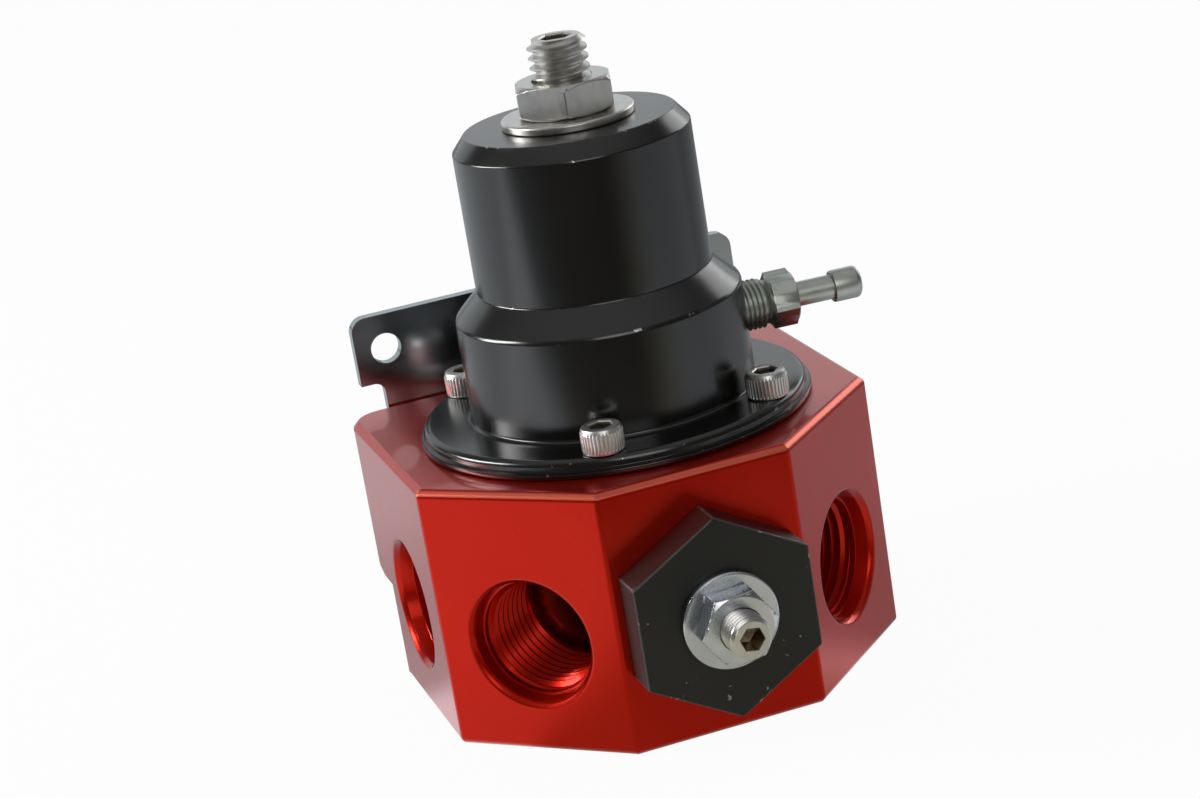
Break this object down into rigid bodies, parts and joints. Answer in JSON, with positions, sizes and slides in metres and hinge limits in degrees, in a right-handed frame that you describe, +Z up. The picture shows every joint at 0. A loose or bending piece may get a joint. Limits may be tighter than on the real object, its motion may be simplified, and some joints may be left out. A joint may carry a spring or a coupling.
{
  "type": "fuel pressure regulator",
  "caption": "Adjustable bypass fuel pressure regulator: octagonal ported body, sprung diaphragm under a turned bonnet with adjusting screw and vacuum barb, hex tuner plug, rear bracket.",
  "frame": {"origin": "on the bonnet's axis at the underside of the body, the mouth of the return port", "axes": "+Z up along the bonnet's axis, -Y out of the front face that carries the hexagonal tuner plug, +Y towards the bracket, +X towards the vacuum barb"},
  "size_m": [0.0953, 0.1023, 0.1236],
  "materials": {
    "red_anodised": "satin-gloss red anodised billet",
    "black_anodised": "satin black anodised, fine turned",
    "black_plug": "matte black anodised",
    "stainless": "bright stainless",
    "bright_steel": "bright machined",
    "zinc": "bright zinc plated",
    "barb_nickel": "grey plated, brushed",
    "bright_plate": "mirror bright zinc plate",
    "inner_plate": "yellow passivated",
    "inner_steel": "turned",
    "spring_steel": "drawn wire",
    "seat_brass": "turned",
    "valve_plastic": "matte",
    "rubber": "matte black"
  },
  "bodies": {
    "housing": {"body": "red_anodised", "bonnet": "black_anodised", "flange_screws": "stainless", "vacuum_barb": "barb_nickel", "tuner_plug": "black_plug", "plug_o_ring": "rubber", "bracket": "bright_plate", "bracket_screws": "stainless", "diaphragm": "rubber", "valve_seat": "seat_brass", "seat_o_ring": "rubber", "main_spring": "spring_steel"},
    "valve": {"upper_plate": "inner_plate", "lower_plate": "inner_plate", "stem": "inner_steel", "stem_nut": "inner_steel", "valve_disc": "valve_plastic"},
    "spring_button": {"spring_seat": "inner_steel"},
    "adjuster": {"adjusting_screw": "bright_steel"},
    "upper_washer": {"adjuster_washer": "bright_steel"},
    "upper_nut": {"adjuster_locknut": "bright_steel"},
    "needle_ring": {"tuner_o_ring": "rubber"},
    "needle": {"tuning_screw": "bright_steel"},
    "front_washer": {"tuner_washer": "zinc"},
    "front_nut": {"tuner_locknut": "zinc"}
  },
  "joints": [
    {"name": "valve_lift", "type": "slide", "parent": "housing", "child": "valve", "axis": [0, 0, 1], "range_m": [0, 0.0012], "stiffness_N_per_m": 4000, "springref_m": -0.004, "deforming": ["diaphragm"]},
    {"name": "spring_button_slide", "type": "slide", "parent": "housing", "child": "spring_button", "axis": [0, 0, 1], "range_m": [-0.008, 0.006], "deforming": ["main_spring"]},
    {"name": "adjuster_turn", "type": "hinge", "parent": "spring_button", "child": "adjuster", "pos_m": [0, 0, 0.11], "axis": [0, 0, 1], "range_deg": [-1597.32, 1200.47]},
    {"name": "upper_washer_lift", "type": "slide", "parent": "housing", "child": "upper_washer", "axis": [0, 0, 1], "range_m": [0, 0.0018]},
    {"name": "upper_nut_turn", "type": "hinge", "parent": "upper_washer", "child": "upper_nut", "pos_m": [0, 0, 0.112], "axis": [0, 0, 1], "range_deg": [0, 360]},
    {"name": "needle_slide", "type": "slide", "parent": "housing", "child": "needle_ring", "axis": [0, -1, 0], "range_m": [-0.002, 0.003]},
    {"name": "needle_turn", "type": "hinge", "parent": "needle_ring", "child": "needle", "pos_m": [0, -0.05, 0.0249], "axis": [0, -1, 0], "range_deg": [-697.32, 1037.48]},
    {"name": "front_washer_slide", "type": "slide", "parent": "housing", "child": "front_washer", "axis": [0, -1, 0], "range_m": [0, 0.00105]},
    {"name": "front_nut_turn", "type": "hinge", "parent": "front_washer", "child": "front_nut", "pos_m": [0, -0.054, 0.0249], "axis": [0, -1, 0], "range_deg": [0, 360]}
  ],
  "couplings": [
    {"joint": "adjuster_turn", "follows": "spring_button_slide", "rad_per_m": 3463.2},
    {"joint": "upper_nut_turn", "follows": "upper_washer_lift", "rad_per_m": 3463.2},
    {"joint": "needle_turn", "follows": "needle_slide", "rad_per_m": 5936.9},
    {"joint": "front_nut_turn", "follows": "front_washer_slide", "rad_per_m": 5936.9}
  ]
}
